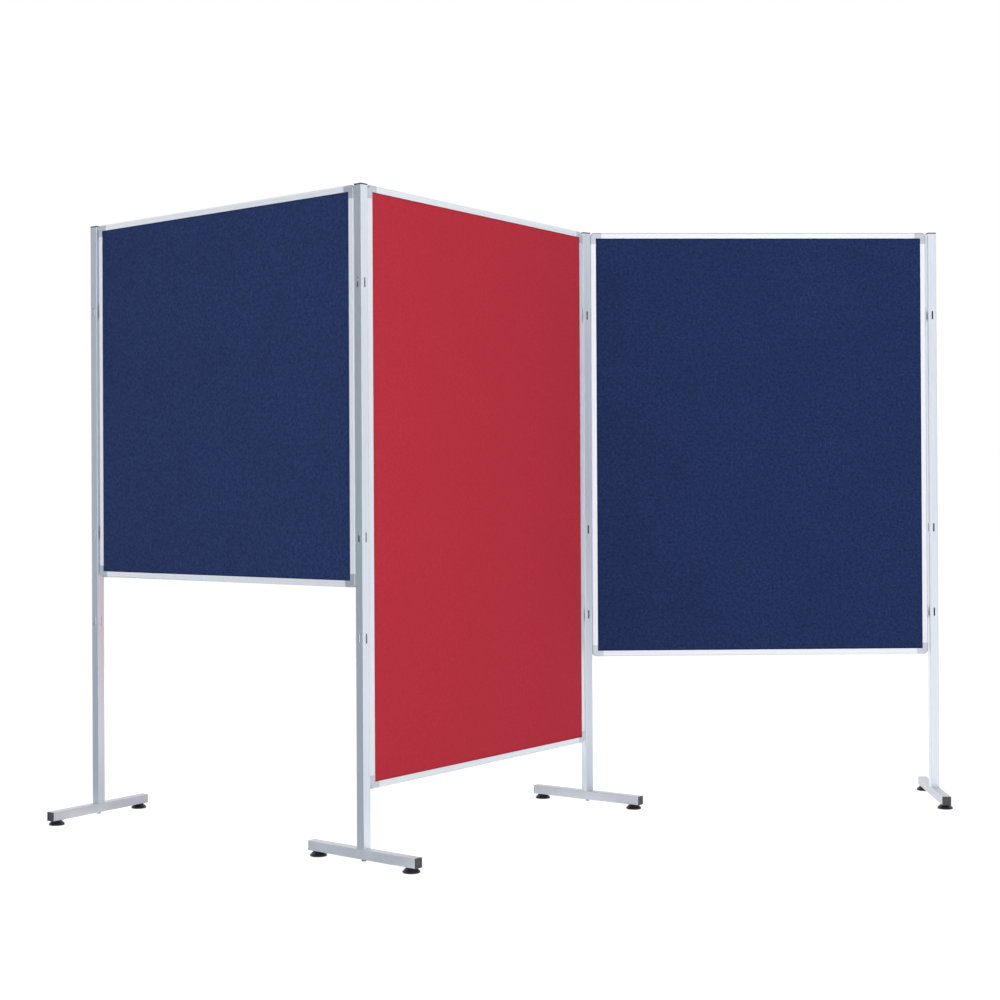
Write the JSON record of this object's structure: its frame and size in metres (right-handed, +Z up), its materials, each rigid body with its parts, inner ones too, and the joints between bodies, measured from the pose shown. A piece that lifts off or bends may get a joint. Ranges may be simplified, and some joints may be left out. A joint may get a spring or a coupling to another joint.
{
  "type": "pin board partition",
  "caption": "Free-standing partition of felt pin boards in aluminium frames, hung by hooks between slotted square posts on T-feet with levelling glides.",
  "frame": {"origin": "centre of the row's outline on the floor", "axes": "+Z up, +X along the right panel, +Y away from the pictured side"},
  "size_m": [3.1218, 1.3532, 2.0183],
  "materials": {
    "post_aluminium": "satin anodised",
    "foot_metal": "silver powder coat",
    "frame_aluminium": "satin anodised",
    "corner_plastic": "fine moulded grain",
    "cap_plastic": "fine moulded grain",
    "end_cap_plastic": "fine moulded grain",
    "glide_plastic": "moulded",
    "inner_steel": "zinc plated",
    "hook_steel": "zinc plated",
    "soft_board": "soft fibre board",
    "felt_blue": "needle felt",
    "felt_red": "needle felt"
  },
  "bodies": {
    "left_stand": {"left_post": "post_aluminium", "left_post_cap": "cap_plastic", "left_post_plug": "inner_steel", "left_foot_bar": "foot_metal", "left_foot_end_caps": "end_cap_plastic", "left_foot_bolt": "inner_steel", "left_glide_nuts": "inner_steel"},
    "left_front_glide": {"left_front_glide": "glide_plastic"},
    "left_rear_glide": {"left_rear_glide": "glide_plastic"},
    "corner_stand": {"corner_post": "post_aluminium", "corner_post_cap": "cap_plastic", "corner_post_plug": "inner_steel", "corner_foot_bar": "foot_metal", "corner_foot_end_caps": "end_cap_plastic", "corner_foot_bolt": "inner_steel", "corner_glide_nuts": "inner_steel"},
    "corner_front_glide": {"corner_front_glide": "glide_plastic"},
    "corner_rear_glide": {"corner_rear_glide": "glide_plastic"},
    "middle_stand": {"middle_post": "post_aluminium", "middle_post_cap": "cap_plastic", "middle_post_plug": "inner_steel", "middle_foot_bar": "foot_metal", "middle_foot_end_caps": "end_cap_plastic", "middle_foot_bolt": "inner_steel", "middle_glide_nuts": "inner_steel"},
    "middle_front_glide": {"middle_front_glide": "glide_plastic"},
    "middle_rear_glide": {"middle_rear_glide": "glide_plastic"},
    "right_stand": {"right_post": "post_aluminium", "right_post_cap": "cap_plastic", "right_post_plug": "inner_steel", "right_foot_bar": "foot_metal", "right_foot_end_caps": "end_cap_plastic", "right_foot_bolt": "inner_steel", "right_glide_nuts": "inner_steel"},
    "right_front_glide": {"right_front_glide": "glide_plastic"},
    "right_rear_glide": {"right_rear_glide": "glide_plastic"},
    "left_panel": {"left_panel_top_rail": "frame_aluminium", "left_panel_bottom_rail": "frame_aluminium", "left_panel_left_rail": "frame_aluminium", "left_panel_right_rail": "frame_aluminium", "left_panel_corners": "corner_plastic", "left_panel_board": "soft_board", "left_panel_hooks": "hook_steel", "left_panel_felt": "felt_blue"},
    "middle_panel": {"middle_panel_top_rail": "frame_aluminium", "middle_panel_bottom_rail": "frame_aluminium", "middle_panel_left_rail": "frame_aluminium", "middle_panel_right_rail": "frame_aluminium", "middle_panel_corners": "corner_plastic", "middle_panel_board": "soft_board", "middle_panel_hooks": "hook_steel", "middle_panel_felt": "felt_red"},
    "right_panel": {"right_panel_top_rail": "frame_aluminium", "right_panel_bottom_rail": "frame_aluminium", "right_panel_left_rail": "frame_aluminium", "right_panel_right_rail": "frame_aluminium", "right_panel_corners": "corner_plastic", "right_panel_board": "soft_board", "right_panel_hooks": "hook_steel", "right_panel_felt": "felt_blue"}
  },
  "joints": [
    {"name": "left_front_glide_screw", "type": "slide", "parent": "left_stand", "child": "left_front_glide", "axis": [0, 0, -1], "range_m": [0, 0.012]},
    {"name": "left_rear_glide_screw", "type": "slide", "parent": "left_stand", "child": "left_rear_glide", "axis": [0, 0, -1], "range_m": [0, 0.012]},
    {"name": "corner_front_glide_screw", "type": "slide", "parent": "corner_stand", "child": "corner_front_glide", "axis": [0, 0, -1], "range_m": [0, 0.012]},
    {"name": "corner_rear_glide_screw", "type": "slide", "parent": "corner_stand", "child": "corner_rear_glide", "axis": [0, 0, -1], "range_m": [0, 0.012]},
    {"name": "middle_front_glide_screw", "type": "slide", "parent": "middle_stand", "child": "middle_front_glide", "axis": [0, 0, -1], "range_m": [0, 0.012]},
    {"name": "middle_rear_glide_screw", "type": "slide", "parent": "middle_stand", "child": "middle_rear_glide", "axis": [0, 0, -1], "range_m": [0, 0.012]},
    {"name": "right_front_glide_screw", "type": "slide", "parent": "right_stand", "child": "right_front_glide", "axis": [0, 0, -1], "range_m": [0, 0.012]},
    {"name": "right_rear_glide_screw", "type": "slide", "parent": "right_stand", "child": "right_rear_glide", "axis": [0, 0, -1], "range_m": [0, 0.012]},
    {"name": "left_panel_swing", "type": "hinge", "parent": "corner_stand", "child": "left_panel", "pos_m": [-0.50515, -0.51108, 0], "axis": [0, 0, 1], "range_deg": [-30, 30]},
    {"name": "left_post_swing", "type": "hinge", "parent": "left_panel", "child": "left_stand", "pos_m": [-1.40733, 0.30125, 0], "axis": [0, 0, 1], "range_deg": [-35, 25]},
    {"name": "middle_panel_swing", "type": "hinge", "parent": "corner_stand", "child": "middle_panel", "pos_m": [-0.48538, -0.51004, 0], "axis": [0, 0, 1], "range_deg": [-34, 26]},
    {"name": "middle_post_swing", "type": "hinge", "parent": "middle_panel", "child": "middle_stand", "pos_m": [0.26203, 0.4466, 0], "axis": [0, 0, 1], "range_deg": [-4, 56]},
    {"name": "right_panel_swing", "type": "hinge", "parent": "middle_stand", "child": "right_panel", "pos_m": [0.2872, 0.45888, 0], "axis": [0, 0, 1], "range_deg": [-4, 56]},
    {"name": "right_post_swing", "type": "hinge", "parent": "right_panel", "child": "right_stand", "pos_m": [1.5012, 0.45888, 0], "axis": [0, 0, 1], "range_deg": [-30, 30]}
  ]
}
